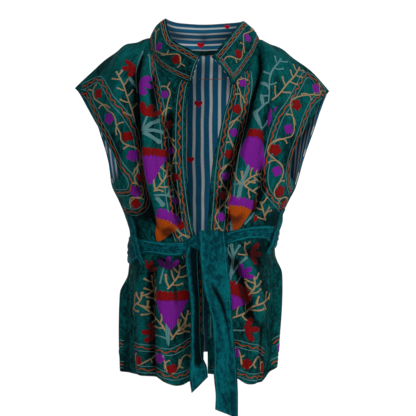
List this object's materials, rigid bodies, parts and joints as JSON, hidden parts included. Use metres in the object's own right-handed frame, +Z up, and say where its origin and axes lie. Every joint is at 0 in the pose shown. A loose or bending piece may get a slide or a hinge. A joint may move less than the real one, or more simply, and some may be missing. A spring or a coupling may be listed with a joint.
{
  "type": "waistcoat",
  "caption": "Sleeveless velvet waistcoat, open down the front, with a stand collar, embroidered fronts, striped lining and a sash belt knotted at the waist.",
  "frame": {"origin": "midway between the two neck points, where the shoulder seams meet the collar", "axes": "+X towards the wearer's left, -Y the front of the garment, +Z up"},
  "size_m": [0.5166, 0.2232, 0.7972],
  "materials": {
    "velvet": "cotton velvet, teal green, embroidered",
    "belt_velvet": "plain cotton velvet, teal",
    "lining": "plain-woven cotton, blue with off-white stripes"
  },
  "bodies": {
    "root": {"right_front": "velvet", "left_front": "velvet", "back": "velvet", "back_lining": "lining", "collar": "velvet", "collar_lining": "lining", "belt_back": "belt_velvet", "belt_right_front": "belt_velvet", "belt_left_front": "belt_velvet", "belt_knot": "belt_velvet", "belt_long_tail": "belt_velvet", "belt_short_tail": "belt_velvet", "belt_loop_right": "belt_velvet", "belt_loop_left": "belt_velvet"}
  },
  "joints": []
}
